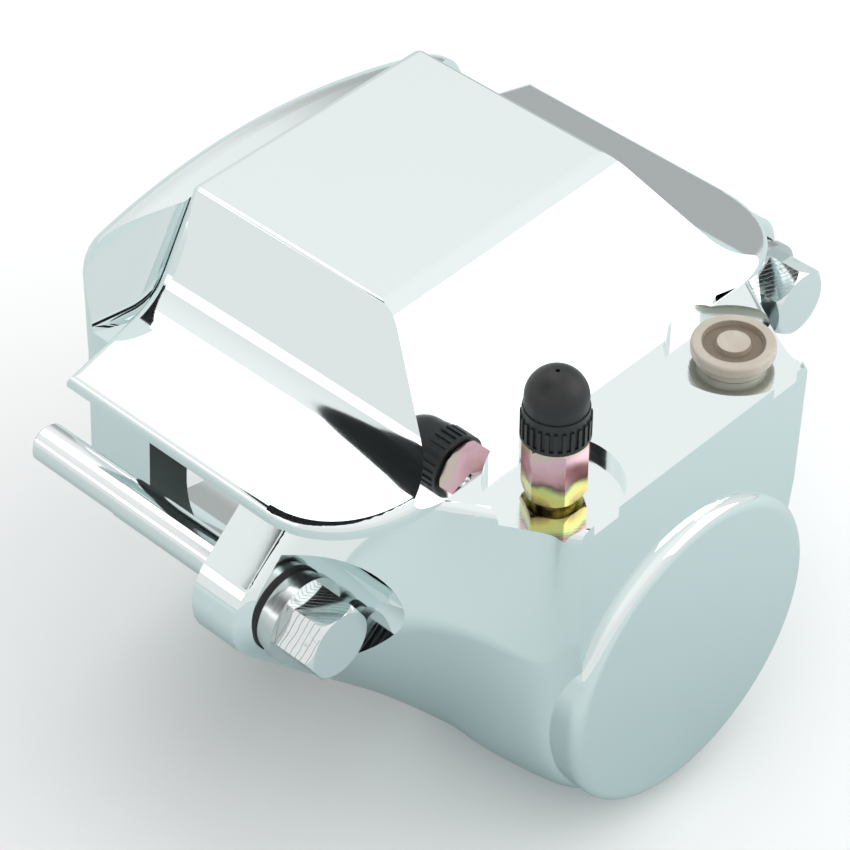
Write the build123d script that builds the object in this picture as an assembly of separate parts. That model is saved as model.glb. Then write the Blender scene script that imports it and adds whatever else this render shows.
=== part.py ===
from build123d import *
import math
import os

# Floating single-piston motorcycle disc-brake caliper, millimetres.
# The origin is midway between the far ends of the two guide pins.
# +X runs across the caliper from pin to pin, +Y along the pins towards the wheel, +Z is up.
# The front of the casting, where the cylinder is, faces -Y.

# ---- driving dimensions -------------------------------------------------------------------
PIN_SPAN = 123.6            # guide pin centre to guide pin centre
PIN_RADIUS = 3.97           # 5/16 inch ground pins
PIN_CHAMFER = 0.9
PIN_SEAT_RADIUS = 3.8       # the ends that the wheel-side bracket holds
PIN_SEAT_LENGTH = 22.0
PIN_HEAD_FRONT = -74.8      # front face of the hexagon heads
PIN_HEAD_LENGTH = 8.4
PIN_HEAD_FLATS = 12.7       # 1/2 inch across flats
RUNNING_GAP = 0.05          # radial clearance of every sliding fit

ROOF_Z = 42.9               # flat top of the bridge
ROOF_HALF_WIDTH = 28.5
ROOF_FRONT = -55.4          # where the 45 degree front slope begins
BRIDGE_BACK = -6.1
CREASE_X, CREASE_Z = 39.7, 24.0
LIP_X, LIP_Z = 60.5, 18.2   # outer top edge of the side flanges
LIP_THICKNESS = 2.5
LIP_ROUNDING = 2.0
LIP_ROOT_INSET = 12.0       # how far the solid root stays inside the flange's rim
ROOT_BOTTOM = 12.0
CREASE_ROUNDING = 13.0
ROOF_ROUNDING = 0.8
BROW_ROUNDING = 8.0         # soft edge between the roof and the front slope
NOSE_RADIUS = 22.0          # plan rounding of the flanges' front corners
UNDERSIDE_CROWN_Z = 23.4    # underside of the bridge over the disc's rim

BOSS_Z = 20.4               # flat boss that carries the bleeder and the fluid port
BOSS_FRONT = -100.2
BOSS_EDGE = 2.2             # rounding of the boss's upper edges
SPOT_X, SPOT_Y = 23.7, -88.3
SPOT_RADIUS = 12.3
SPOT_Z = 18.1

CYLINDER_Z = -28.35         # axis of the hydraulic cylinder
COLLAR_RADIUS = 31.75       # 2 1/2 inch round front face
COLLAR_FRONT = -102.6
COLLAR_ROUNDING = 2.3
BORE_RADIUS = 25.4
BORE_BOTTOM = -96.0

PLATE_BACK = -49.8          # slot face on the cylinder side
PLATE_FRONT = -59.8
BARREL_RADIUS = 36.0
EAR_SEAT = -61.8            # spot-faced seat under each pin head
EAR_RADIUS = 10.8
EAR_POCKET_RADIUS = 13.0
EAR_BORE_RADIUS = 7.2

FINGER_INNER = -16.6        # slot face on the far side of the disc
FINGER_ENDS = 3.1
FINGER_CENTRE = 6.6
FINGER_HALF_WIDTH = 52.8
FINGER_CROWN = 40.1         # top of the domed far side, a little below the roof
HIP_X, HIP_Z = 52.3, -12.0  # widest point of the finger
WAIST_X, WAIST_Z = 50.8, 12.0
SHOULDER_X, SHOULDER_Z = 50.3, 37.3     # left shoulder of the far side
LOW_SHOULDER_X, LOW_SHOULDER_Z = 42.0, 32.5     # the right one is lower
FLARE_X, FLARE_Y, FLARE_Z = 47.0, 1.0, 40.0     # where the oblique face behind each slope ends
FINGER_FRONT_CUT_Z = 20.0
SHOULDER_RADIUS = 9.0
FINGER_ROUNDING = 8.0       # rolled outer edge of the far side
FINGER_LOBE_X, FINGER_LOBE_Z = 12.6, -13.0
FINGER_LOBE_RADIUS = 36.3
FINGER_FOOT_RADIUS = 33.5
WINDOW_RADIUS = 30.6        # round ends of the window, about the same two lobe centres
WINDOW_TOP = 8.0

PISTON_RADIUS = BORE_RADIUS - RUNNING_GAP
PISTON_FRONT, PISTON_BACK = -92.0, -48.8
PISTON_CUP_RADIUS = 20.5
SEAL_FRONT, SEAL_WIDTH, SEAL_DEPTH = -63.0, 4.0, 3.2
BOOT_SEAT_RADIUS, BOOT_SEAT_FRONT = 29.2, -56.0

PORT_THREAD_RADIUS = 4.76   # 3/8-24 inlet thread
BLEEDER_THREAD_RADIUS = 3.97
PASSAGE_RADIUS = 1.6
THREAD_BOTTOM = 4.0
BLEEDER_FLATS = 10.0

SLEEVE_RADIUS = 5.2
SLEEVE_FLANGE_RADIUS = 7.8
SLEEVE_FLANGE_FRONT = -64.5
BUSH_LIP_RADIUS = 8.1
BUSH_LIP_FRONT = -62.4
WASHER_RADIUS = 8.4
WASHER_BACK = -64.6
WIPER_OUTER = 6.0
WIPER_SEAT = -51.9

BLEEDER_HEX_BOTTOM, BLEEDER_HEX_TOP, BLEEDER_TOP = 19.4, 31.6, 39.4
CAP_BOTTOM, CAP_SHOULDER, CAP_TOP = 31.9, 38.2, 45.6
CAP_SKIRT_RADIUS, CAP_DOME_RADIUS = 6.1, 5.55
PLUG_DISC_BOTTOM, PLUG_TOP, PLUG_RADIUS = 20.0, 22.4, 7.65

SPRING_HALF_SPAN, SPRING_WIDTH = 26.0, 16.0
SPRING_Y, SPRING_TOP = -33.0, 31.0
SPRING_POCKET = 20.0        # length along Y of the relief in the roof's underside

os.makedirs("parts", exist_ok=True)


# ---- helpers ------------------------------------------------------------------------------
def facing_plane(y):
    """Plane across the pins at y: its local x is +X, its local y is +Z, extrusions run to -Y."""
    return Plane(origin=(0, y, 0), x_dir=(1, 0, 0), z_dir=(0, -1, 0))


def rod(x, z, radius, front, back):
    """Cylinder parallel to Y from y = front to y = back."""
    length = back - front
    return Pos(x, (front + back) / 2, z) * Rot(90, 0, 0) * Cylinder(radius, length)


def ring(x, z, outer, inner, front, back):
    """Plain bush parallel to Y."""
    return rod(x, z, outer, front, back) - rod(x, z, inner, front - 1, back + 1)


def post(x, y, radius, bottom, top):
    """Upright cylinder from z = bottom to z = top."""
    return Pos(x, y, (bottom + top) / 2) * Cylinder(radius, top - bottom)


def hexagon_rod(x, z, flats, front, back, turn):
    """Hexagonal bar parallel to Y, turned about its own axis by turn degrees."""
    outline = RegularPolygon(flats / 2, 6, major_radius=False, rotation=turn)
    return extrude(facing_plane(back) * Pos(x, z) * outline, amount=back - front)


def mirrored(x, z, radius):
    """The same circle on the left and on the right."""
    return [Pos(side * x, z) * Circle(radius) for side in (-1, 1)]


def casting_section(y, barrel, ear, shoulder):
    """Rounded section of the cylinder-side casting: barrel below, ears beside, shoulders above."""
    circles = [Pos(0, CYLINDER_Z) * Circle(barrel)] + mirrored(*ear) + mirrored(*shoulder)
    edges = [edge for circle in circles for edge in circle.edges()]
    return facing_plane(y) * make_hull(edges)


# ---- casting ------------------------------------------------------------------------------
SLOPE_FOOT = ROOF_FRONT - (ROOF_Z - BOSS_Z)


def cylinder_side():
    """Ears, boss and barrel: one tapering casting with the round collar on its front."""
    edge = BOSS_EDGE
    top = BOSS_Z - edge
    sections = [
        casting_section(PLATE_FRONT, BARREL_RADIUS, (PIN_SPAN / 2, 0, EAR_RADIUS), (56.0, 12.9, 5.0)),
        casting_section(-66.8, BARREL_RADIUS, (54.0, 0, 10.0), (50.0, 14.2, 4.5)),
        casting_section(-75.8, 35.6, (42.0, -1.6, 9.0), (42.5 - edge, top, edge)),
        casting_section(-85.8, 34.8, (32.5, -5.6, 8.0), (36.5 - edge, top, edge)),
        casting_section(-93.0, 33.6, (27.5, -10.6, 7.5), (32.5 - edge, top, edge)),
        casting_section(-97.5, 29.5, (25.0, -8.0, 6.3), (31.5 - edge, top, edge)),
        casting_section(BOSS_FRONT, 26.0, (23.0, -6.0, 6.2), (30.0 - edge, top, edge)),
    ]
    body = loft(sections)
    body += extrude(sections[0], amount=PLATE_FRONT - PLATE_BACK)
    collar = rod(0, CYLINDER_Z, COLLAR_RADIUS, COLLAR_FRONT, -80)
    rim = collar.edges().group_by(Axis.Y)[0]
    return body + fillet(rim, COLLAR_ROUNDING)


def on_lip(edge):
    """Whether an edge runs along the upper outer rim of a side flange."""
    place = edge.center()
    flange_z = CREASE_Z + (LIP_Z - CREASE_Z) * (abs(place.X) - CREASE_X) / (LIP_X - CREASE_X)
    return abs(place.Z - flange_z) < 0.15 and abs(place.X) > LIP_X - 8


def bridge():
    """Roof, side slopes and thin side flanges over the disc's rim."""
    right = [(ROOF_HALF_WIDTH, ROOF_Z), (CREASE_X, CREASE_Z), (LIP_X, LIP_Z),
             (LIP_X, LIP_Z - LIP_THICKNESS)]
    left = [(-x, z) for x, z in reversed(right)]
    outline = Polyline(*left, *right)
    under = ThreePointArc(right[-1], (0, UNDERSIDE_CROWN_Z), left[0])
    section = make_face(outline.edges() + under.edges())
    depth = BRIDGE_BACK - SLOPE_FOOT
    body = extrude(facing_plane(BRIDGE_BACK) * section, amount=depth)
    creases = body.edges().filter_by(Axis.Y).filter_by(lambda e: abs(abs(e.center().X) - CREASE_X) < 0.1)
    body = fillet(creases, CREASE_ROUNDING)
    plan = Rectangle(2 * LIP_X, 2 * depth)
    plan = Pos(0, BRIDGE_BACK) * fillet(plan.vertices(), NOSE_RADIUS)
    body &= extrude(Plane.XY.offset(-10) * plan, amount=80)
    sides = body.edges().filter_by(Axis.Y).filter_by(lambda e: abs(e.center().Z - ROOF_Z) < 0.1)
    body = fillet(sides, ROOF_ROUNDING)
    return fillet(body.edges().filter_by(on_lip), LIP_ROUNDING)


def root():
    """Solid metal under the front of the roof, where the bridge grows out of the cylinder side."""
    width = 2 * (LIP_X - LIP_ROOT_INSET)
    plan = Rectangle(width, 2 * (PLATE_BACK - SLOPE_FOOT))
    plan = Pos(0, PLATE_BACK) * fillet(plan.vertices(), NOSE_RADIUS)
    body = extrude(Plane.XY.offset(ROOT_BOTTOM) * plan, amount=20)
    right = [(0, UNDERSIDE_CROWN_Z + 1), (CREASE_X, CREASE_Z - 2), (LIP_X, LIP_Z - 1.5), (LIP_X, ROOT_BOTTOM)]
    left = [(-x, z) for x, z in reversed(right[1:])]
    section = make_face(Polyline(*right, *left, close=True))
    return body & extrude(facing_plane(PLATE_BACK) * section, amount=PLATE_BACK - SLOPE_FOOT)


def slope_cutter():
    """Everything above the 45 degree front slope and its rounded brow."""
    reach = BROW_ROUNDING * math.tan(math.radians(22.5))
    drop = reach * math.sqrt(0.5)
    turn = math.radians(112.5)
    start = (ROOF_FRONT + reach, ROOF_Z)
    middle = (start[0] + BROW_ROUNDING * math.cos(turn), ROOF_Z - BROW_ROUNDING * (1 - math.sin(turn)))
    end = (ROOF_FRONT - drop, ROOF_Z - drop)
    brow = ThreePointArc(start, middle, end)
    rest = Polyline(end, (SLOPE_FOOT, BOSS_Z), (SLOPE_FOOT - 40, BOSS_Z), (SLOPE_FOOT - 40, ROOF_Z + 10),
                    (start[0], ROOF_Z + 10), start)
    return extrude(Plane.YZ * make_face(brow.edges() + rest.edges()), amount=80, both=True)


def lobes(radius):
    """Oblong with round ends about the two lobe centres of the finger."""
    length = 2 * (FINGER_LOBE_X + radius)
    return Pos(0, FINGER_LOBE_Z) * SlotOverall(length, 2 * radius)


def finger_outline():
    """Domed top, sides that widen down to the hips, round lobes and a round foot."""
    run, rise = HIP_X - FINGER_LOBE_X, HIP_Z - FINGER_LOBE_Z
    aim = math.atan2(rise, run) - math.acos(FINGER_LOBE_RADIUS / math.hypot(run, rise))
    tangent = (FINGER_LOBE_X + FINGER_LOBE_RADIUS * math.cos(aim),
               FINGER_LOBE_Z + FINGER_LOBE_RADIUS * math.sin(aim))
    side = [(WAIST_X, WAIST_Z), (HIP_X, HIP_Z), tangent]
    left, right = (-SHOULDER_X, SHOULDER_Z), (LOW_SHOULDER_X, LOW_SHOULDER_Z)
    dome = ThreePointArc(left, (0, FINGER_CROWN), right)
    sides = Polyline(right, *side, *[(-x, z) for x, z in reversed(side)], left)
    outline = make_face(dome.edges() + sides.edges())
    outline = fillet(outline.vertices().filter_by(lambda v: v.Y > LOW_SHOULDER_Z - 1), SHOULDER_RADIUS)
    return outline + lobes(FINGER_LOBE_RADIUS) + Pos(0, CYLINDER_Z) * Circle(FINGER_FOOT_RADIUS)


def flare(side):
    """Space in front of the oblique face between a side slope and the far side's shoulder."""
    corner = Vector(side * ROOF_HALF_WIDTH, BRIDGE_BACK, ROOF_Z)
    down = Vector(side * CREASE_X, BRIDGE_BACK, CREASE_Z) - corner
    out = Vector(side * FLARE_X, FLARE_Y, FLARE_Z) - corner
    face = Plane(origin=corner, z_dir=down.cross(out) * side)
    space = face * Pos(0, 0, 40) * Box(120, 120, 80)
    return space & Pos(0, 0, FINGER_FRONT_CUT_Z + 50) * Box(200, 200, 100)


def finger():
    """Far side of the casting: the wall behind the outer pad, with its oblong window."""
    ends = (FINGER_HALF_WIDTH, FINGER_ENDS)
    back = ThreePointArc((-ends[0], ends[1]), (0, FINGER_CENTRE), ends)
    plan = Polyline(ends, (ends[0], FINGER_INNER), (-ends[0], FINGER_INNER), (-ends[0], ends[1]))
    plan = make_face(back.edges() + plan.edges())
    body = extrude(facing_plane(FINGER_CENTRE) * finger_outline(), amount=FINGER_CENTRE - FINGER_INNER)
    body &= extrude(Plane.XY.offset(-80) * plan, amount=160)
    body = fillet(body.edges().filter_by(lambda e: e.center().Y > FINGER_ENDS - 1), FINGER_ROUNDING)
    body -= Pos(0, BRIDGE_BACK - 50, FINGER_FRONT_CUT_Z + 50) * Box(200, 100, 100)
    body = body - flare(-1) - flare(1)
    window = lobes(WINDOW_RADIUS) & Pos(0, WINDOW_TOP - 100) * Rectangle(200, 200)
    return body - extrude(facing_plane(FINGER_CENTRE + 5) * window, amount=60)


def left_half():
    """Left half of the casting with its ear and spot-face; the right half is its mirror image."""
    body = cylinder_side() + bridge() + root() - slope_cutter()
    body &= Pos(-100, 0, 0) * Box(200, 400, 400)
    body -= rod(-PIN_SPAN / 2, 0, EAR_POCKET_RADIUS, COLLAR_FRONT - 5, EAR_SEAT)
    body -= rod(-PIN_SPAN / 2, 0, EAR_BORE_RADIUS, COLLAR_FRONT, PLATE_BACK + 5)
    body -= post(-SPOT_X, SPOT_Y, SPOT_RADIUS, SPOT_Z, ROOF_Z)
    body -= post(-SPOT_X, SPOT_Y, PASSAGE_RADIUS, CYLINDER_Z, SPOT_Z)
    return body


def caliper_housing():
    """The one-piece casting with every machined hole and pocket."""
    half = left_half()
    body = half + mirror(half, about=Plane.YZ) + finger()
    body -= post(-SPOT_X, SPOT_Y, BLEEDER_THREAD_RADIUS, THREAD_BOTTOM, SPOT_Z + 1)
    body -= post(SPOT_X, SPOT_Y, PORT_THREAD_RADIUS, THREAD_BOTTOM, SPOT_Z + 1)
    body -= rod(0, CYLINDER_Z, BORE_RADIUS, BORE_BOTTOM, PLATE_BACK + 1)
    body -= rod(0, CYLINDER_Z, BORE_RADIUS + SEAL_DEPTH, SEAL_FRONT, SEAL_FRONT + SEAL_WIDTH)
    body -= rod(0, CYLINDER_Z, BOOT_SEAT_RADIUS, BOOT_SEAT_FRONT, PLATE_BACK + 1)
    body -= Pos(0, SPRING_Y, SPRING_TOP - 10) * Box(2 * SPRING_HALF_SPAN, SPRING_POCKET, 20)
    return body


# ---- guide pins ---------------------------------------------------------------------------
def guide_pin(side, turn):
    """Ground pin with a hexagon head, chamfered head corners and a bracket seat at its end."""
    x = side * PIN_SPAN / 2
    head_back = PIN_HEAD_FRONT + PIN_HEAD_LENGTH
    head = hexagon_rod(x, 0, PIN_HEAD_FLATS, PIN_HEAD_FRONT, head_back, turn)
    blank = rod(x, 0, PIN_HEAD_FLATS / math.sqrt(3) + 0.05, PIN_HEAD_FRONT, head_back)
    blank = chamfer(blank.edges().group_by(Axis.Y)[0], 1.0)
    shaft = rod(x, 0, PIN_RADIUS, head_back, -PIN_SEAT_LENGTH)
    seat = rod(x, 0, PIN_SEAT_RADIUS, -PIN_SEAT_LENGTH, 0)
    seat = chamfer(seat.edges().group_by(Axis.Y)[-1], PIN_CHAMFER)
    return (head & blank) + shaft + seat


def pin_washer(side):
    return ring(side * PIN_SPAN / 2, 0, WASHER_RADIUS, PIN_RADIUS + 0.03,
                PIN_HEAD_FRONT + PIN_HEAD_LENGTH, WASHER_BACK)


def pin_bush(side):
    """Rubber bush with a lip on the ear's seat and a pocket for the wiper ring."""
    x = side * PIN_SPAN / 2
    bush = ring(x, 0, EAR_BORE_RADIUS, SLEEVE_RADIUS, EAR_SEAT, PLATE_BACK)
    bush += ring(x, 0, BUSH_LIP_RADIUS, SLEEVE_RADIUS, BUSH_LIP_FRONT, EAR_SEAT)
    return bush - rod(x, 0, WIPER_OUTER, WIPER_SEAT, PLATE_BACK + 1)


def pin_sleeve(side):
    """Compression sleeve that the pin slides in, flanged at the head end."""
    x = side * PIN_SPAN / 2
    inner = PIN_RADIUS + RUNNING_GAP
    sleeve = ring(x, 0, SLEEVE_RADIUS, inner, BUSH_LIP_FRONT, WIPER_SEAT)
    return sleeve + ring(x, 0, SLEEVE_FLANGE_RADIUS, inner, SLEEVE_FLANGE_FRONT, BUSH_LIP_FRONT)


def pin_wiper(side):
    """O-ring that keeps grit out of the sleeve."""
    inner = PIN_RADIUS + RUNNING_GAP
    section = (WIPER_OUTER - inner) / 2
    place = Pos(side * PIN_SPAN / 2, WIPER_SEAT + section + 0.05, 0) * Rot(90, 0, 0)
    return place * Torus(inner + section, section)


# ---- hydraulics ---------------------------------------------------------------------------
def piston():
    """Cup piston, open towards the pad, with a groove for the dust boot's lip."""
    body = rod(0, CYLINDER_Z, PISTON_RADIUS, PISTON_FRONT, PISTON_BACK)
    body = chamfer(body.edges().group_by(Axis.Y)[0], 1.5)
    body -= rod(0, CYLINDER_Z, PISTON_CUP_RADIUS, PISTON_FRONT + 12, PISTON_BACK + 1)
    groove = (PISTON_BACK - 3.4, PISTON_BACK - 1.6)
    return body - ring(0, CYLINDER_Z, PISTON_RADIUS + 1, PISTON_RADIUS - 1.2, *groove)


def piston_insulator():
    """Phenolic button in the piston's mouth that keeps pad heat out of the fluid."""
    spigot = rod(0, CYLINDER_Z, PISTON_CUP_RADIUS, PISTON_BACK - 7, PISTON_BACK)
    flange = rod(0, CYLINDER_Z, PISTON_RADIUS - 1.4, PISTON_BACK, PISTON_BACK + 2)
    return spigot + flange - rod(0, CYLINDER_Z, 12, PISTON_BACK - 8, PISTON_BACK + 3)


def piston_seal():
    return ring(0, CYLINDER_Z, BORE_RADIUS + SEAL_DEPTH, BORE_RADIUS, SEAL_FRONT, SEAL_FRONT + SEAL_WIDTH)


def piston_dust_boot():
    """Folded rubber boot: its bead sits in the counterbore and its lip wipes the piston."""
    lip = PISTON_RADIUS + 0.3
    front = BOOT_SEAT_FRONT
    profile = Polyline((lip, front), (BOOT_SEAT_RADIUS, front), (BOOT_SEAT_RADIUS, front + 2.2),
                       (27.3, front + 2.2), (27.3, front + 5.6), (lip, front + 5.6), (lip, front + 4.4),
                       (26.4, front + 4.4), (26.4, front + 1.2), (lip, front + 1.2), close=True)
    boot = revolve(Plane.XY * make_face(profile), axis=Axis.Y)
    return Pos(0, 0, CYLINDER_Z) * boot


def boot_retaining_ring():
    """Round wire ring that holds the boot's bead in the counterbore."""
    wire = 0.8
    place = Pos(0, BOOT_SEAT_FRONT + 2.2 + wire, CYLINDER_Z) * Rot(90, 0, 0)
    return place * Torus(BOOT_SEAT_RADIUS - 0.1 - wire, wire)


def bleeder_screw():
    """Hexagon bleed valve: threaded shank, neck, hexagon and barbed hose nipple."""
    place = Pos(-SPOT_X, SPOT_Y, 0)
    shank = post(0, 0, BLEEDER_THREAD_RADIUS - RUNNING_GAP, THREAD_BOTTOM + 2.6, BLEEDER_HEX_BOTTOM)
    shank += Pos(0, 0, THREAD_BOTTOM + 1.6) * Cone(1.7, BLEEDER_THREAD_RADIUS - RUNNING_GAP, 2)
    outline = Pos(0, 0, BLEEDER_HEX_BOTTOM) * RegularPolygon(BLEEDER_FLATS / 2, 6, major_radius=False)
    hexagon = extrude(outline, amount=BLEEDER_HEX_TOP - BLEEDER_HEX_BOTTOM)
    blank = post(0, 0, BLEEDER_FLATS / math.sqrt(3) + 0.05, BLEEDER_HEX_BOTTOM, BLEEDER_HEX_TOP)
    blank = chamfer(blank.edges().filter_by(GeomType.CIRCLE), 0.7)
    nipple = post(0, 0, 3.0, BLEEDER_HEX_TOP, BLEEDER_TOP)
    nipple += Pos(0, 0, BLEEDER_TOP - 1.5) * Cone(3.6, 2.8, 3)
    return place * (shank + (hexagon & blank) + nipple - post(0, 0, 1.0, 10, BLEEDER_TOP + 1))


def bleeder_cap():
    """Rubber dust cap with a ribbed skirt, a domed top and a pin-hole vent."""
    skirt = post(0, 0, CAP_SKIRT_RADIUS - 0.35, CAP_BOTTOM, CAP_SHOULDER)
    ribs = 26
    rib = Pos(CAP_SKIRT_RADIUS - 0.6, 0, CAP_BOTTOM + 2.6) * Box(1.2, 0.7, 4.0)
    skirt += [Rot(0, 0, 360 * number / ribs) * rib for number in range(ribs)]
    skirt += post(0, 0, CAP_SKIRT_RADIUS, CAP_BOTTOM, CAP_BOTTOM + 0.7)
    dome = post(0, 0, CAP_DOME_RADIUS, CAP_SHOULDER, CAP_TOP - CAP_DOME_RADIUS)
    dome += Pos(0, 0, CAP_TOP - CAP_DOME_RADIUS) * Sphere(CAP_DOME_RADIUS)
    cap = skirt + dome - post(0, 0, 4.0, CAP_BOTTOM - 1, CAP_TOP - CAP_DOME_RADIUS)
    return Pos(-SPOT_X, SPOT_Y, 0) * (cap - post(0, 0, 0.4, CAP_BOTTOM, CAP_TOP + 1))


def port_plug():
    """Plastic shipping plug in the fluid port: stem, flange and a grooved button top."""
    stem = post(0, 0, PORT_THREAD_RADIUS - 0.4, THREAD_BOTTOM + 5, SPOT_Z + 0.05)
    flange = post(0, 0, 6.4, SPOT_Z + 0.05, PLUG_DISC_BOTTOM)
    disc = post(0, 0, PLUG_RADIUS, PLUG_DISC_BOTTOM, PLUG_TOP)
    disc = fillet(disc.edges().filter_by(GeomType.CIRCLE), 0.6)
    disc -= post(0, 0, 5.7, PLUG_TOP - 0.9, PLUG_TOP + 1) - post(0, 0, 3.0, PLUG_TOP - 2, PLUG_TOP + 2)
    return Pos(SPOT_X, SPOT_Y, 0) * (stem + flange + disc)


def pad_spring():
    """Leaf spring under the roof that presses the pads down and stops them rattling."""
    thickness = 0.6
    leaf = Pos(0, 0, SPRING_TOP - thickness / 2) * Box(2 * SPRING_HALF_SPAN, SPRING_WIDTH, thickness)
    for side in (-1, 1):
        leg_x = side * (SPRING_HALF_SPAN - thickness / 2)
        leaf += Pos(leg_x, 0, SPRING_TOP - 5.5) * Box(thickness, SPRING_WIDTH, 11)
        foot_x = side * (SPRING_HALF_SPAN - 3.2)
        leaf += Pos(foot_x, 0, SPRING_TOP - 11 + thickness / 2) * Box(6.4, SPRING_WIDTH, thickness)
    return Pos(0, SPRING_Y, 0) * leaf


# ---- export -------------------------------------------------------------------------------
def all_parts():
    parts = {
        "caliper_housing": caliper_housing(),
        "piston": piston(),
        "piston_insulator": piston_insulator(),
        "piston_seal": piston_seal(),
        "piston_dust_boot": piston_dust_boot(),
        "boot_retaining_ring": boot_retaining_ring(),
        "pad_spring": pad_spring(),
        "bleeder_screw": bleeder_screw(),
        "bleeder_cap": bleeder_cap(),
        "port_plug": port_plug(),
    }
    for name, side, turn in (("left", -1, 0), ("right", 1, 30)):
        parts["guide_pin_" + name] = guide_pin(side, turn)
        parts["pin_washer_" + name] = pin_washer(side)
        parts["pin_bush_" + name] = pin_bush(side)
        parts["pin_sleeve_" + name] = pin_sleeve(side)
        parts["pin_wiper_" + name] = pin_wiper(side)
    return parts


for node, shape in all_parts().items():
    export_step(shape, "parts/" + node + ".step")
    print(node, round(shape.volume), "mm3", len(shape.solids()), "solid", shape.is_valid)
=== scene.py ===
import logging
import math
from dataclasses import dataclass
from enum import Enum
from typing import Any, Sequence, Union

import bpy
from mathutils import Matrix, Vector


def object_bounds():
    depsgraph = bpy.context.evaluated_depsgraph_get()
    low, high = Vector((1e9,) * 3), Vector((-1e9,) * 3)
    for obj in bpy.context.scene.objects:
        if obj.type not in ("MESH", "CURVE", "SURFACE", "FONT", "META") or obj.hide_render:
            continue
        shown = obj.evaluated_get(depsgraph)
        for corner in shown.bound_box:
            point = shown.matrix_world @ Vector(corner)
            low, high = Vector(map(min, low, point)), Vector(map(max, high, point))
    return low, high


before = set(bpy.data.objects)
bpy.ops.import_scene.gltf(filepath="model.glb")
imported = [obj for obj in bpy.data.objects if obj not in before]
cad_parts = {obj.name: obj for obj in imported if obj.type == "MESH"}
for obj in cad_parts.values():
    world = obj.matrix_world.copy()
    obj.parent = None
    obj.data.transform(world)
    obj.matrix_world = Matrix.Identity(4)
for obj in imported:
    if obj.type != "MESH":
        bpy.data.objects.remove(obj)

CAD_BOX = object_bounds()
LOG = logging.getLogger("caliper")

Number = Union[int, float]
Triple = tuple[float, float, float]

MM = 0.001


class Axis(Enum):
    """The axis of the object's frame that a pattern runs along or around."""

    X = 0
    Y = 1
    Z = 2


class Finish(Enum):
    """Named finishes of the caliper's pieces."""

    CHROME = "mirror chrome"
    GROUND_STEEL = "ground steel"
    PLATED_STEEL = "plated steel"
    YELLOW_ZINC = "yellow zinc"
    CAP_RUBBER = "cap rubber"
    SEAL_RUBBER = "seal rubber"
    BOOT_RUBBER = "boot rubber"
    PLUG_PLASTIC = "plug plastic"
    PHENOLIC = "phenolic"
    PISTON_STEEL = "piston steel"
    SPRING_STEEL = "spring steel"


class Value:
    """A number on its way through a shader: wraps a socket, and its operators add Math nodes."""

    def __init__(self, shader: "Shader", socket: bpy.types.NodeSocket) -> None:
        """Wraps one output socket.

        Args:
            shader: The material being built.
            socket: The output socket that carries the number.
        """
        self.shader = shader
        self.socket = socket

    def _math(self, operation: str, *terms: Any, clamp: bool = False) -> "Value":
        """Adds one Math node.

        Args:
            operation: Blender's name of the operation.
            terms: Numbers or Values, in the node's order.
            clamp: Whether the result is kept between 0 and 1.

        Returns:
            The node's result.
        """
        return self.shader.node("ShaderNodeMath", {"operation": operation, "use_clamp": clamp},
                                dict(enumerate(terms)))

    def __add__(self, other: Any) -> "Value":
        """Sum."""
        return self._math("ADD", self, other)

    def __radd__(self, other: Number) -> "Value":
        """Sum with a number on the left."""
        return self._math("ADD", other, self)

    def __sub__(self, other: Any) -> "Value":
        """Difference."""
        return self._math("SUBTRACT", self, other)

    def __rsub__(self, other: Number) -> "Value":
        """Difference from a number on the left."""
        return self._math("SUBTRACT", other, self)

    def __mul__(self, other: Any) -> "Value":
        """Product."""
        return self._math("MULTIPLY", self, other)

    def __rmul__(self, other: Number) -> "Value":
        """Product with a number on the left."""
        return self._math("MULTIPLY", other, self)

    def __lt__(self, other: Any) -> "Value":
        """1 where this value is below the other."""
        return self._math("LESS_THAN", self, other)

    def __gt__(self, other: Any) -> "Value":
        """1 where this value is above the other."""
        return self._math("GREATER_THAN", self, other)

    def __abs__(self) -> "Value":
        """Size without the sign."""
        return self._math("ABSOLUTE", self)

    def sine(self) -> "Value":
        """Sine of an angle in radians."""
        return self._math("SINE", self)

    def clamped(self) -> "Value":
        """Kept between 0 and 1."""
        return self._math("ADD", self, 0.0, clamp=True)

    def ramp(self, low: float, high: float) -> "Value":
        """Steps smoothly from 0 to 1.

        Args:
            low: Where the step begins.
            high: Where it ends.

        Returns:
            The step.
        """
        settings = {"interpolation_type": "SMOOTHSTEP", "clamp": True}
        limits = {"Value": self, "From Min": low, "From Max": high}
        return self.shader.node("ShaderNodeMapRange", settings, limits)


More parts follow.
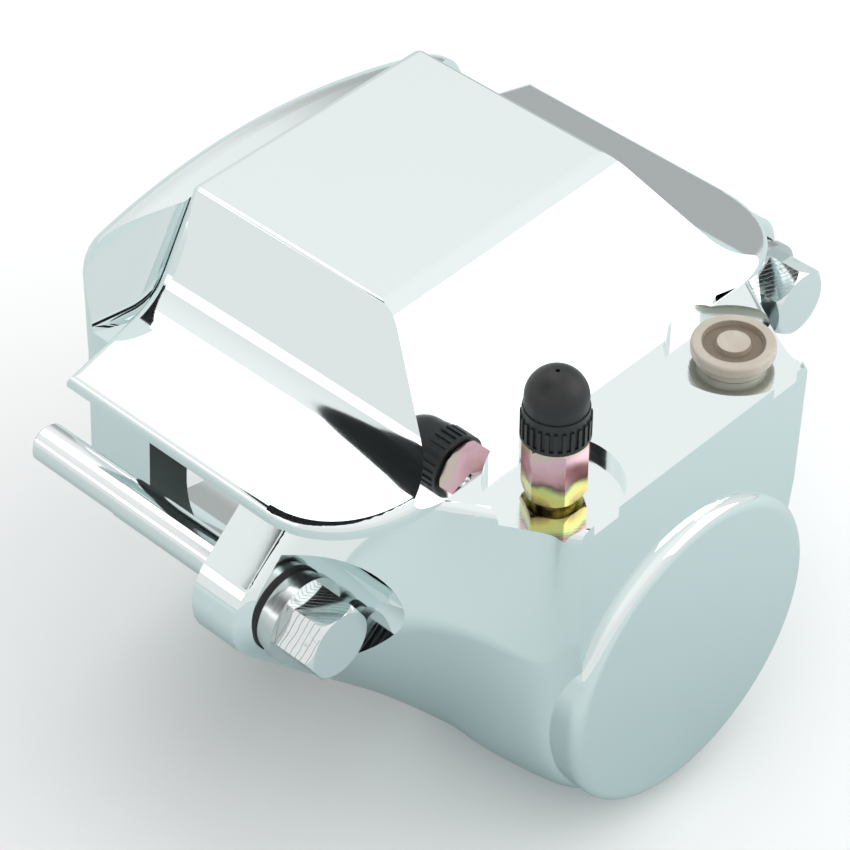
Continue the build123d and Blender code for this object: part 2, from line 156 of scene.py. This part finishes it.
class Shader:
    """The node tree of a material or a world."""

    def __init__(self, block: bpy.types.ID) -> None:
        """Empties the block's node tree.

        Args:
            block: The material or world being built.
        """
        block.use_nodes = True
        self.tree = block.node_tree
        self.tree.nodes.clear()

    def node(self, kind: str, settings: dict[str, Any] | None = None,
             inputs: dict[Any, Any] | None = None, output: Any = 0) -> Value | None:
        """Adds any node.

        Args:
            kind: Blender's type name of the node.
            settings: Properties of the node, set before its sockets; "stops" fills a colour ramp.
            inputs: Socket name or number to a plain value or a Value.
            output: Name or number of the output socket to return, or None for an end node.

        Returns:
            The chosen output, or None.
        """
        made = self.tree.nodes.new(kind)
        for key, value in (settings or {}).items():
            if key == "stops":
                self._fill_ramp(made.color_ramp, value)
            else:
                setattr(made, key, value)
        for key, value in (inputs or {}).items():
            if isinstance(value, Value):
                self.tree.links.new(value.socket, made.inputs[key])
            else:
                made.inputs[key].default_value = value
        return None if output is None else Value(self, made.outputs[output])

    @staticmethod
    def _fill_ramp(ramp: bpy.types.ColorRamp, stops: Sequence[tuple[float, Triple]]) -> None:
        """Fills a colour ramp.

        Args:
            ramp: The ramp, with its two default stops.
            stops: Position and colour of each stop, two or more.
        """
        while len(ramp.elements) < len(stops):
            ramp.elements.new(1.0)
        for element, (position, colour) in zip(ramp.elements, stops):
            element.position = position
            element.color = (*colour, 1.0)

    def vector(self, operation: str, first: Any, second: Any) -> Value:
        """Vector Math of two vectors, component by component."""
        return self.node("ShaderNodeVectorMath", {"operation": operation}, {0: first, 1: second})

    def place(self) -> Value:
        """Position on the piece in metres, in the object's frame."""
        return self.node("ShaderNodeTexCoord", output="Object")

    def part(self, axis: Axis) -> Value:
        """One coordinate of the position."""
        return self.node("ShaderNodeSeparateXYZ", inputs={0: self.place()}, output=axis.value)

    def facing(self, axis: Axis) -> Value:
        """One component of the surface normal in the object's frame."""
        normal = self.node("ShaderNodeTexCoord", output="Normal")
        return self.node("ShaderNodeSeparateXYZ", inputs={0: normal}, output=axis.value)

    def distance(self, centre: Triple, around: Axis) -> Value:
        """Distance from an axis line.

        Args:
            centre: A point on the line, in metres.
            around: The line's direction.

        Returns:
            The distance in metres.
        """
        keep = [0.0 if axis is around else 1.0 for axis in Axis]
        offset = self.vector("SUBTRACT", self.place(), centre)
        flat = self.vector("MULTIPLY", offset, keep)
        return self.node("ShaderNodeVectorMath", {"operation": "LENGTH"}, {0: flat}, "Value")

    def noise(self, scale: float, detail: float = 3.0, stretch: Triple = (1.0, 1.0, 1.0)) -> Value:
        """Fractal noise between 0 and 1.

        Args:
            scale: Features per metre.
            detail: Octaves.
            stretch: Factor on each axis of the position, for grain that runs one way.

        Returns:
            The noise.
        """
        place = self.vector("MULTIPLY", self.place(), stretch)
        inputs = {"Vector": place, "Scale": scale, "Detail": detail}
        return self.node("ShaderNodeTexNoise", inputs=inputs)

    def mix(self, factor: Any, first: Any, second: Any) -> Value:
        """Colour blend from first at 0 to second at 1."""
        return self.node("ShaderNodeMix", {"data_type": "RGBA"}, {0: factor, 6: first, 7: second}, 2)

    def ramp_colour(self, factor: Value, stops: Sequence[tuple[float, Triple]]) -> Value:
        """Colour read off a ramp."""
        return self.node("ShaderNodeValToRGB", {"stops": stops}, {0: factor})

    def bump(self, height: Value, depth: float) -> Value:
        """Normal from a height field.

        Args:
            height: The height, between 0 and 1.
            depth: What 1 means, in metres.

        Returns:
            The normal.
        """
        return self.node("ShaderNodeBump", inputs={"Height": height, "Distance": depth, "Strength": 1.0})


class Surface(Shader):
    """One material with a Principled shader on its end."""

    def __init__(self, name: str) -> None:
        """Makes the material.

        Args:
            name: The material's name.
        """
        self.material = bpy.data.materials.new(name)
        super().__init__(self.material)
        self.principled = self.tree.nodes.new("ShaderNodeBsdfPrincipled")
        output = self.tree.nodes.new("ShaderNodeOutputMaterial")
        self.tree.links.new(self.principled.outputs[0], output.inputs[0])

    def wire(self, **sockets: Any) -> bpy.types.Material:
        """Sets or links the Principled shader's sockets.

        Args:
            sockets: Socket name with underscores for spaces, to a number, colour or Value.

        Returns:
            The finished material.
        """
        for name, value in sockets.items():
            socket = self.principled.inputs[name.replace("_", " ")]
            if isinstance(value, Value):
                self.tree.links.new(value.socket, socket)
            else:
                socket.default_value = value
        return self.material


def grey(level: float) -> tuple[float, float, float, float]:
    """Opaque grey."""
    return (level, level, level, 1.0)


@dataclass(frozen=True)
class SpotFace:
    """A round machined seat: its centre, radius and the line it was cut along."""

    centre: Triple
    radius: float
    along: Axis
    rim: float = 0.08 * MM
    sink: float = 0.12 * MM
    wobble_scale: float = 240.0
    wobble: float = 3.0

    def radial(self, shader: Shader) -> Value:
        """Distance from the cutter's axis."""
        return shader.distance(self.centre, self.along)

    def mask(self, shader: Shader) -> Value:
        """Finds the flat floor of the seat.

        Args:
            shader: The material being built.

        Returns:
            1 on the floor, 0 elsewhere.
        """
        depth = shader.part(self.along) - self.centre[self.along.value]
        inside = self.radial(shader) < self.radius + self.rim
        return inside * (abs(depth) < self.sink)

    def rings(self, shader: Shader, pitch: float) -> Value:
        """Concentric cutter marks between -1 and 1, a little uneven."""
        wobble = shader.noise(self.wobble_scale, 2.0) * self.wobble
        return (self.radial(shader) * (math.tau / pitch) + wobble).sine()


@dataclass(frozen=True)
class Chrome:
    """Mirror chrome over polished aluminium: softly wavy, and dull grey where tools have cut it."""

    spot_faces: tuple[SpotFace, ...]
    slot: tuple[float, float, float]
    bore: tuple[float, float]
    tint: Triple = (0.80, 0.862, 0.862)
    cut_tint: Triple = (0.27, 0.31, 0.31)
    worn_cut: float = 0.40
    gloss: float = 0.03
    wave_depth: float = 0.10 * MM
    wave_scale: float = 22.0
    haze_scale: float = 70.0
    fine_scale: float = 900.0
    scratch_scale: float = 420.0
    ring_pitch: float = 0.55 * MM
    bore_floor: float = -97.0 * MM
    bore_mouth: float = 3.0 * MM
    square_on: float = 0.9

    def _cut(self, shader: Shader) -> Value:
        """Finds the slot's machined walls and the cylinder bore.

        Args:
            shader: The material being built.

        Returns:
            1 where a tool has cut, 0 elsewhere.
        """
        front, back, top = self.slot
        centre_z, radius = self.bore
        y = shader.part(Axis.Y)
        square = abs(shader.facing(Axis.Y)) > self.square_on
        walls = (y > front) * (y < back) * (shader.part(Axis.Z) < top) * square
        around = shader.distance((0.0, 0.0, centre_z), Axis.Y) < radius
        return (walls + around * (y > self.bore_floor) * (y < front + self.bore_mouth)).clamped()

    def material(self) -> bpy.types.Material:
        """Builds the chrome.

        Returns:
            The finished material.
        """
        shader = Surface(Finish.CHROME.value)
        wave = shader.noise(self.wave_scale, 1.0)
        haze = shader.noise(self.haze_scale, 4.0)
        fine = shader.noise(self.fine_scale, 2.0)
        scratch = shader.noise(self.scratch_scale, 3.0, (1.0, 0.06, 0.06)).ramp(0.66, 0.72)
        cut = self._cut(shader)
        seats = [face.mask(shader) for face in self.spot_faces]
        seat = sum(seats[1:], seats[0]).clamped()
        turned = [mask * face.rings(shader, self.ring_pitch)
                  for mask, face in zip(seats, self.spot_faces)]
        dull = shader.mix(haze, (*self.cut_tint, 1.0), grey(self.worn_cut))
        colour = shader.mix(cut, (*self.tint, 1.0), dull)
        roughness = self.gloss + 0.02 * haze + 0.04 * scratch + 0.07 * seat + cut * (0.32 + 0.12 * fine)
        height = wave + fine * (0.004 + 0.10 * cut) + sum(turned[1:], turned[0]) * 0.010
        return shader.wire(Base_Color=colour, Metallic=1.0, Roughness=roughness.clamped(),
                           Normal=shader.bump(height, self.wave_depth))


@dataclass(frozen=True)
class TurnedSteel:
    """Bright steel with fine grinding marks around or along one axis."""

    finish: Finish
    tint: Triple
    roughness: float
    along: Axis = Axis.Y
    grain: float = 4000.0
    drawn_out: float = 0.08
    haze_scale: float = 120.0
    shade: float = 0.82
    depth: float = 0.003 * MM

    def material(self) -> bpy.types.Material:
        """Builds the steel.

        Returns:
            The finished material.
        """
        shader = Surface(self.finish.value)
        stretch = tuple(1.0 if axis is self.along else self.drawn_out for axis in Axis)
        marks = shader.noise(self.grain, 2.0, stretch)
        haze = shader.noise(self.haze_scale, 3.0)
        darker = [self.shade * channel for channel in self.tint]
        colour = shader.mix(haze, (*self.tint, 1.0), (*darker, 1.0))
        return shader.wire(Base_Color=colour, Metallic=1.0, Normal=shader.bump(marks, self.depth),
                           Roughness=self.roughness + 0.10 * marks + 0.05 * haze)


@dataclass(frozen=True)
class PinSteel:
    """Polished pin: ground around its shaft, with diagonal milling marks on the head's flats."""

    head_back: float
    tint: Triple = (0.80, 0.835, 0.835)
    mark_level: float = 0.20
    pitch: float = 0.9 * MM
    slant: Triple = (1.0, 0.75, 0.4)
    side_on: float = 0.2
    drift_scale: float = 260.0
    drift: float = 5.0
    tear_scale: float = 700.0
    grain: float = 5000.0
    depth: float = 0.012 * MM
    gloss: float = 0.07

    def material(self) -> bpy.types.Material:
        """Builds the pin's steel.

        Returns:
            The finished material.
        """
        shader = Surface(Finish.GROUND_STEEL.value)
        head = shader.part(Axis.Y) < self.head_back
        flat = head * (abs(shader.facing(Axis.Y)) < self.side_on)
        drift = shader.noise(self.drift_scale, 3.0) * self.drift
        across, along, down = self.slant
        run = shader.part(Axis.Y) * along + shader.part(Axis.X) * across - shader.part(Axis.Z) * down
        groove = (run * (math.tau / self.pitch) + drift).sine().ramp(0.90, 0.99) * flat
        tear = shader.noise(self.tear_scale, 4.0, (1.0, 0.3, 1.0)).ramp(0.60, 0.70) * flat
        ground = shader.noise(self.grain, 2.0, (0.08, 1.0, 0.08))
        shade = (groove * 0.75 + tear * 0.35).clamped()
        colour = shader.mix(shade, (*self.tint, 1.0), grey(self.mark_level))
        height = ground * 0.2 - groove - tear * 0.5
        return shader.wire(Base_Color=colour, Metallic=1.0, Normal=shader.bump(height, self.depth),
                           Roughness=self.gloss + 0.06 * ground + 0.22 * shade)


@dataclass(frozen=True)
class YellowZinc:
    """Iridescent passivate over bright zinc: gold at the neck, dark at the shoulder, pink above."""

    bottom: float
    top: float
    roughness: float = 0.13
    drift_scale: float = 190.0
    grain: float = 1400.0
    depth: float = 0.006 * MM
    film: tuple[tuple[float, Triple], ...] = (
        (0.0, (0.16, 0.12, 0.06)), (0.14, (0.62, 0.52, 0.16)), (0.28, (0.52, 0.60, 0.22)),
        (0.40, (0.20, 0.13, 0.11)), (0.54, (0.62, 0.34, 0.36)), (0.78, (0.80, 0.50, 0.58)),
        (1.0, (0.66, 0.63, 0.46)),
    )

    def material(self) -> bpy.types.Material:
        """Builds the passivated zinc.

        Returns:
            The finished material.
        """
        shader = Surface(Finish.YELLOW_ZINC.value)
        height = shader.part(Axis.Z).ramp(self.bottom, self.top)
        drift = shader.noise(self.drift_scale, 4.0)
        thickness = (height * 0.80 + (drift - 0.5) * 0.55 + 0.08).clamped()
        colour = shader.ramp_colour(thickness, self.film)
        return shader.wire(Base_Color=colour, Metallic=1.0, Roughness=self.roughness + 0.12 * drift,
                           Normal=shader.bump(shader.noise(self.grain), self.depth))


@dataclass(frozen=True)
class Rubber:
    """Black moulded rubber with a fine matt skin and a little dust."""

    finish: Finish
    tint: Triple = (0.010, 0.011, 0.011)
    dust_level: float = 0.028
    dust_scale: float = 220.0
    roughness: float = 0.36
    grain: float = 2500.0
    depth: float = 0.008 * MM

    def material(self) -> bpy.types.Material:
        """Builds the rubber.

        Returns:
            The finished material.
        """
        shader = Surface(self.finish.value)
        dust = shader.noise(self.dust_scale, 4.0)
        colour = shader.mix(dust.ramp(0.45, 0.8) * 0.35, (*self.tint, 1.0), grey(self.dust_level))
        return shader.wire(Base_Color=colour, Roughness=self.roughness + 0.16 * dust,
                           Normal=shader.bump(shader.noise(self.grain, 3.0), self.depth))


@dataclass(frozen=True)
class PlugPlastic:
    """Milky tan plastic, with painted shade in the ring groove: dark brown on the top skin there."""

    centre: Triple
    groove: tuple[float, float]
    tint: Triple = (0.50, 0.44, 0.36)
    pale_tint: Triple = (0.62, 0.58, 0.51)
    # painted shade colour for the ring groove, used below
    groove_shade_tint: Triple = (0.17, 0.13, 0.085)
    cloud_scale: float = 180.0
    dimple_scale: float = 500.0
    depth: float = 0.03 * MM
    skin: tuple[float, float] = (-1.4 * MM, -0.9 * MM)

    def material(self) -> bpy.types.Material:
        """Builds the plug's plastic.

        Returns:
            The finished material.
        """
        shader = Surface(Finish.PLUG_PLASTIC.value)
        inner, outer = self.groove
        radius = shader.distance(self.centre, Axis.Z)
        # painted shade: the ring groove on top is coloured dark brown, standing in for the shade that
        # falls in it
        past_inner = radius.ramp(inner - 0.2 * MM, inner + 0.3 * MM)
        ring = past_inner * (1.0 - radius.ramp(outer - 0.4 * MM, outer + 0.3 * MM))
        cloud = shader.noise(self.cloud_scale, 3.0)
        low, high = (self.centre[2] + level for level in self.skin)
        top = shader.part(Axis.Z).ramp(low, high)
        pale = shader.mix(cloud, (*self.tint, 1.0), (*self.pale_tint, 1.0))
        colour = shader.mix(ring * top * 0.9, pale, (*self.groove_shade_tint, 1.0))
        return shader.wire(Base_Color=colour, Roughness=0.20 + 0.12 * cloud, Subsurface_Weight=0.3,
                           Subsurface_Radius=(0.003, 0.002, 0.001), IOR=1.49,
                           Normal=shader.bump(shader.noise(self.dimple_scale), self.depth))


@dataclass(frozen=True)
class Phenolic:
    """Brown moulded resin with a fibrous fleck."""

    dark: Triple = (0.05, 0.025, 0.012)
    light: Triple = (0.16, 0.09, 0.045)
    fleck_scale: float = 900.0
    depth: float = 0.02 * MM

    def material(self) -> bpy.types.Material:
        """Builds the resin.

        Returns:
            The finished material.
        """
        shader = Surface(Finish.PHENOLIC.value)
        fleck = shader.noise(self.fleck_scale, 5.0, (1.0, 1.0, 0.3))
        colour = shader.ramp_colour(fleck, [(0.3, self.dark), (0.7, self.light)])
        return shader.wire(Base_Color=colour, Roughness=0.45 + 0.2 * fleck,
                           Normal=shader.bump(fleck, self.depth))


class SubAssembly:
    """A group of CAD nodes dressed together."""

    title = "sub-assembly"

    def finishes(self) -> dict[str, bpy.types.Material]:
        """Material of each node in the group."""
        raise NotImplementedError

    def dress(self) -> None:
        """Gives each node its material and reports it."""
        for name, material in self.finishes().items():
            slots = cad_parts[name].data.materials
            slots.clear()
            slots.append(material)
            LOG.info("%s: %s wears %s", self.title, name, material.name)


@dataclass
class Casting(SubAssembly):
    """The one-piece chrome housing with its machined seats."""

    title = "casting"
    pin_x: float = 61.8 * MM
    ear_seat_y: float = -61.8 * MM
    ear_pocket_radius: float = 13.0 * MM
    port_x: float = 23.7 * MM
    port_y: float = -88.3 * MM
    port_seat_z: float = 18.1 * MM
    port_seat_radius: float = 12.3 * MM
    slot: tuple[float, float, float] = (-52.0 * MM, -15.5 * MM, 22.0 * MM)
    bore: tuple[float, float] = (-28.35 * MM, 29.5 * MM)

    def seats(self) -> tuple[SpotFace, ...]:
        """Places the machined seats.

        Returns:
            The two port seats and the two ear seats, left before right.
        """
        ports = [(side * self.port_x, self.port_y, self.port_seat_z) for side in (-1, 1)]
        ears = [(side * self.pin_x, self.ear_seat_y, 0.0) for side in (-1, 1)]
        return (*(SpotFace(centre, self.port_seat_radius, Axis.Z) for centre in ports),
                *(SpotFace(centre, self.ear_pocket_radius, Axis.Y) for centre in ears))

    def finishes(self) -> dict[str, bpy.types.Material]:
        """Material of the casting."""
        return {"caliper_housing": Chrome(self.seats(), self.slot, self.bore).material()}


@dataclass
class GuidePins(SubAssembly):
    """Both guide pins with their washers, sleeves, bushes and wiper rings."""

    title = "guide pins"
    head_back: float = -66.3 * MM
    seal_roughness: float = 0.5
    plated_tint: Triple = (0.66, 0.70, 0.70)
    plated_roughness: float = 0.14

    def finishes(self) -> dict[str, bpy.types.Material]:
        """Makes the materials of the ten pieces, five to a side.

        Returns:
            Node name to material.
        """
        rubber = Rubber(Finish.SEAL_RUBBER, roughness=self.seal_roughness).material()
        plated = TurnedSteel(Finish.PLATED_STEEL, self.plated_tint, self.plated_roughness).material()
        kinds = {"guide_pin": PinSteel(self.head_back).material(), "pin_washer": plated,
                 "pin_sleeve": plated, "pin_bush": rubber, "pin_wiper": rubber}
        return {f"{kind}_{side}": kinds[kind] for side in ("left", "right") for kind in kinds}


@dataclass
class Hydraulics(SubAssembly):
    """Piston, its insulator and seals, and the pad spring above the slot."""

    title = "hydraulics"
    seal_roughness: float = 0.45
    spring_tint: Triple = (0.45, 0.46, 0.47)
    spring_roughness: float = 0.30
    piston_tint: Triple = (0.62, 0.64, 0.65)
    piston_roughness: float = 0.20

    def finishes(self) -> dict[str, bpy.types.Material]:
        """Makes the materials of the six pieces.

        Returns:
            Node name to material.
        """
        rubber = Rubber(Finish.BOOT_RUBBER, roughness=self.seal_roughness).material()
        spring = TurnedSteel(Finish.SPRING_STEEL, self.spring_tint, self.spring_roughness, Axis.X)
        piston = TurnedSteel(Finish.PISTON_STEEL, self.piston_tint, self.piston_roughness)
        sprung = spring.material()
        return {"piston": piston.material(), "piston_insulator": Phenolic().material(),
                "piston_seal": rubber, "piston_dust_boot": rubber,
                "boot_retaining_ring": sprung, "pad_spring": sprung}


@dataclass
class Bleeder(SubAssembly):
    """Bleed valve and its rubber cap."""

    title = "bleeder"
    neck: float = 18.0 * MM
    hexagon_top: float = 32.5 * MM

    def finishes(self) -> dict[str, bpy.types.Material]:
        """Materials of the valve and the cap."""
        return {"bleeder_screw": YellowZinc(self.neck, self.hexagon_top).material(),
                "bleeder_cap": Rubber(Finish.CAP_RUBBER).material()}


@dataclass
class FluidPort(SubAssembly):
    """Shipping plug in the fluid port."""

    title = "fluid port"
    centre: Triple = (23.7 * MM, -88.3 * MM, 22.4 * MM)
    groove: tuple[float, float] = (3.0 * MM, 5.7 * MM)

    def finishes(self) -> dict[str, bpy.types.Material]:
        """Material of the plug."""
        return {"port_plug": PlugPlastic(self.centre, self.groove).material()}


@dataclass(frozen=True)
class SoftBox:
    """A rectangular light whose face the chrome mirrors as an even white area."""

    name: str
    azimuth: float
    elevation: float
    width: float
    height: float
    radiance: float
    distance: float = 1.2
    colour: Triple = (1.0, 0.968, 0.968)


@dataclass(frozen=True)
class FloorSheet:
    """One sheet of the floor: how far it lies under the caliper, its painted shadow colour close to the
    caliper and its colour farther out.
    """

    name: str
    gap: float
    # painted shadow: the colour close to the caliper, darker than the far colour
    painted_shadow_tint: Triple
    far: Triple
    half_size: float = 4.0
    # distances over which the painted shadow fades into the far colour
    fade: tuple[float, float] = (60.0 * MM, 170.0 * MM)


@dataclass(frozen=True)
class Sky:
    """Brightness of the surround: a level, a gain overhead and a dip towards one side."""

    level: float = 0.90
    overhead_gain: float = 0.14
    overhead: tuple[float, float] = (0.30, 0.85)
    dip: float = 0.42
    dip_towards: tuple[float, float] = (62.0, 6.0)
    dip_edge: tuple[float, float] = (0.84, 0.985)


@dataclass
class Studio:
    """Pale floor with a faint painted shadow, a darker floor of painted shade that only the chrome
    mirrors, bright sky, soft boxes, a black card for the chrome to mirror, and the camera.
    """

    target: Triple = (0.0, -35.8 * MM, -14.6 * MM)
    bearing: float = -133.519
    elevation: float = 42.087
    distance: float = 623.9 * MM
    lens: float = 140.7
    sensor: float = 36.0
    clip: tuple[float, float] = (0.01, 20.0)
    boxes: tuple[SoftBox, ...] = (
        SoftBox("front right box", 137.0, 33.0, 1.1, 0.9, 1.07),
        SoftBox("top box", 5.0, 68.0, 1.0, 0.7, 1.06),
        SoftBox("left box", -60.0, 21.0, 0.9, 0.20, 1.12),
    )
    # the seen floor: pale, with a faint painted shadow close to the caliper
    seen_floor: FloorSheet = FloorSheet(
        "pale floor", 0.2 * MM, (0.92, 0.94, 0.94), (0.95, 0.96, 0.96))
    # painted shade: a darker floor that only reflections see, standing in for the floor's shade in the
    # chrome, darkest close to the caliper
    painted_shade_floor: FloorSheet = FloorSheet(
        "mirrored floor", 0.1 * MM, (0.50, 0.60, 0.61), (0.62, 0.71, 0.71))
    sky: Sky = Sky()
    card_distance: float = 600.0 * MM
    card_level: float = 0.003
    card_outline: tuple[tuple[float, float], ...] = (
        (-62.0, 24.0), (-57.5, 34.0), (-50.0, 42.5), (-40.0, 51.5), (-27.0, 59.0), (-10.0, 64.0),
        (-10.0, 76.0), (-60.0, 78.0), (-92.0, 62.0), (-84.0, 36.0),
    )

    def build(self) -> None:
        """Builds the whole studio: the chrome mirrors a darker floor than the one that is seen, painted
        shade that only reflections show.
        """
        seen = self._floor(self.seen_floor)
        seen.visible_glossy = False
        # this sheet is painted shade for the chrome's reflections, hidden from the camera, diffuse light
        # and shadows
        mirrored = self._floor(self.painted_shade_floor)
        mirrored.visible_camera = False
        mirrored.visible_diffuse = False
        mirrored.visible_shadow = False
        for box in self.boxes:
            self._soft_box(box)
        self._card()
        self._camera()
        self._surround()
        bpy.context.scene.view_settings.view_transform = "Standard"

    @staticmethod
    def _towards(azimuth: float, elevation: float) -> Vector:
        """Finds the unit vector of a direction.

        Args:
            azimuth: Degrees clockwise from +Y, seen from above.
            elevation: Degrees above the floor.

        Returns:
            The vector.
        """
        turn, rise = math.radians(azimuth), math.radians(elevation)
        level = math.cos(rise)
        return Vector((math.sin(turn) * level, math.cos(turn) * level, math.sin(rise)))

    def _aim(self, thing: bpy.types.Object) -> None:
        """Turns a light or the camera to look at the caliper."""
        direction = Vector(self.target) - thing.location
        thing.rotation_euler = direction.to_track_quat("-Z", "Y").to_euler()

    @staticmethod
    def _stage_mesh(name: str, corners: list[Any], faces: list[tuple[int, ...]],
                    material: bpy.types.Material) -> bpy.types.Object:
        """Adds a flat mesh that isn't part of the caliper.

        Args:
            name: The object's name.
            corners: Its corners, in metres.
            faces: Corner numbers of each face.
            material: What it wears.

        Returns:
            The new object.
        """
        mesh = bpy.data.meshes.new(name)
        mesh.from_pydata(corners, [], faces)
        mesh.materials.append(material)
        made = bpy.data.objects.new(name, mesh)
        bpy.context.collection.objects.link(made)
        return made

    def _floor(self, sheet: FloorSheet) -> bpy.types.Object:
        """Adds one floor sheet under the lowest point of the caliper, with a painted shadow pool around
        it.

        Args:
            sheet: Its height and colours.

        Returns:
            The sheet's object.
        """
        shader = Surface(sheet.name)
        # painted shadow: darker close to the caliper, fading to the far colour farther out
        past_painted_shadow = shader.distance(self.target, Axis.Z).ramp(*sheet.fade)
        colour = shader.mix(past_painted_shadow, (*sheet.painted_shadow_tint, 1.0), (*sheet.far, 1.0))
        material = shader.wire(Base_Color=colour, Roughness=0.9 - 0.1 * shader.noise(3.0))
        low, half = CAD_BOX[0].z - sheet.gap, sheet.half_size
        corners = [(-half, -half, low), (half, -half, low), (half, half, low), (-half, half, low)]
        return self._stage_mesh(sheet.name, corners, [(0, 1, 2, 3)], material)

    def _soft_box(self, box: SoftBox) -> None:
        """Adds one soft box aimed at the caliper.

        Args:
            box: Its place, size and brightness.
        """
        data = bpy.data.lights.new(box.name, "AREA")
        data.shape = "RECTANGLE"
        data.size, data.size_y = box.width, box.height
        data.color = box.colour
        data.energy = box.radiance * math.pi * box.width * box.height
        light = bpy.data.objects.new(box.name, data)
        light.location = Vector(self.target) + self._towards(box.azimuth, box.elevation) * box.distance
        bpy.context.collection.objects.link(light)
        self._aim(light)

    def _card(self) -> None:
        """Adds one black card above the left shoulder: the chrome's dark accents are its reflection."""
        shader = Surface("black card")
        material = shader.wire(Base_Color=grey(self.card_level), Roughness=0.8 + 0.1 * shader.noise(9.0))
        target, count = Vector(self.target), len(self.card_outline)
        rim = [target + self._towards(*corner) * self.card_distance for corner in self.card_outline]
        fan = [(0, k + 1, (k + 1) % count + 1) for k in range(count)]
        card = self._stage_mesh("black card", [sum(rim, Vector()) / count, *rim], fan, material)
        card.visible_camera = False

    def _camera(self) -> None:
        """Adds the camera, above the front left corner."""
        data = bpy.data.cameras.new("camera")
        data.lens = self.lens
        data.sensor_width = self.sensor
        data.clip_start, data.clip_end = self.clip
        camera = bpy.data.objects.new("camera", data)
        offset = self._towards(self.bearing, self.elevation) * self.distance
        camera.location = Vector(self.target) + offset
        bpy.context.collection.objects.link(camera)
        self._aim(camera)
        bpy.context.scene.camera = camera

    def _surround(self) -> None:
        """Adds a white surround, brighter overhead and darker towards the back right."""
        world = bpy.data.worlds.new("studio")
        bpy.context.scene.world = world
        shader = Shader(world)
        direction = shader.node("ShaderNodeTexCoord", output="Generated")
        height = shader.node("ShaderNodeSeparateXYZ", inputs={0: direction}, output="Z")
        across = shader.node("ShaderNodeVectorMath", {"operation": "DOT_PRODUCT"},
                             {0: direction, 1: self._towards(*self.sky.dip_towards)}, "Value")
        overhead = self.sky.overhead_gain * height.ramp(*self.sky.overhead)
        level = self.sky.level + overhead - self.sky.dip * across.ramp(*self.sky.dip_edge)
        colour = shader.node("ShaderNodeCombineXYZ", inputs={0: level, 1: level, 2: level})
        background = shader.node("ShaderNodeBackground", inputs={0: colour})
        shader.node("ShaderNodeOutputWorld", inputs={0: background}, output=None)


def main() -> None:
    """Dresses every sub-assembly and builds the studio."""
    logging.basicConfig(level=logging.INFO, format="%(message)s")
    for assembly in (Casting(), GuidePins(), Hydraulics(), Bleeder(), FluidPort()):
        assembly.dress()
    Studio().build()


if __name__ == "__main__":
    main()
